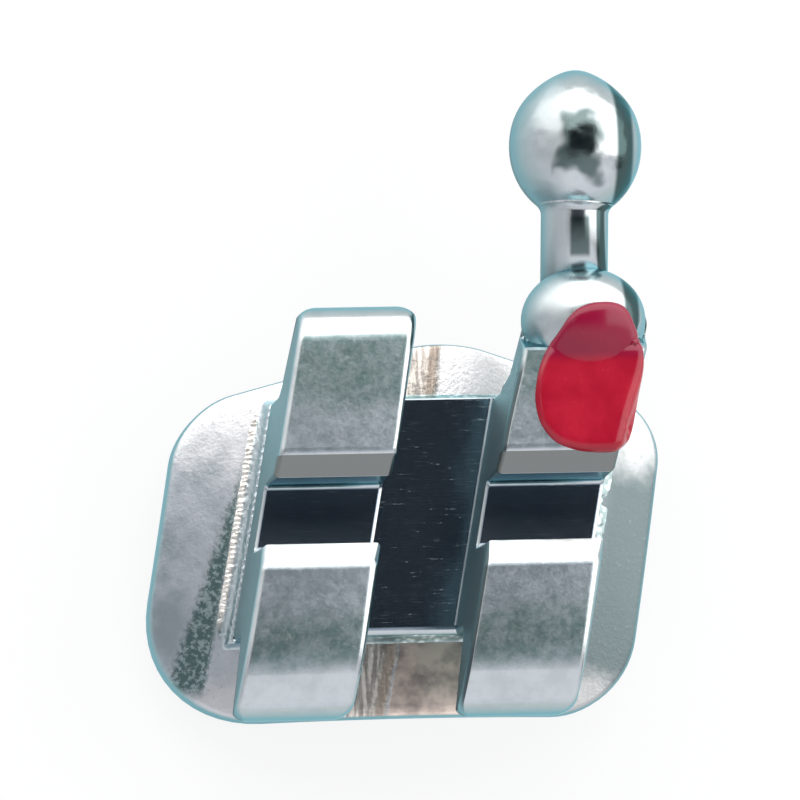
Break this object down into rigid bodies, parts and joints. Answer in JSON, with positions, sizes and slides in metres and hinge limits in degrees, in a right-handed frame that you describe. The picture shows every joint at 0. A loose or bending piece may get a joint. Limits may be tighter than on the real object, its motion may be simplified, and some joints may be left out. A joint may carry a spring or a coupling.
{
  "type": "orthodontic bracket",
  "caption": "Metal tooth bracket: leaning tie wings crossed by an archwire slot and a channel, a ball hook, and a curved bonding pad with mesh on its back.",
  "frame": {"origin": "middle of the archwire slot, on the level of its floor", "axes": "+X along the archwire to the hook side, +Y to the gum along the hook, +Z out of the tooth"},
  "size_m": [0.0044, 0.0054, 0.0025],
  "materials": {
    "bracket_steel": "polished, a little satin on the wing faces",
    "pad_steel": "satin",
    "mesh_steel": "dull, sintered",
    "braze_filler": "rough, as flowed",
    "mark_enamel": "glossy enamel"
  },
  "bodies": {
    "root": {"bracket_body": "bracket_steel", "bonding_pad": "pad_steel", "retention_mesh": "mesh_steel", "braze_fillet": "braze_filler", "identification_mark": "mark_enamel"}
  },
  "joints": []
}
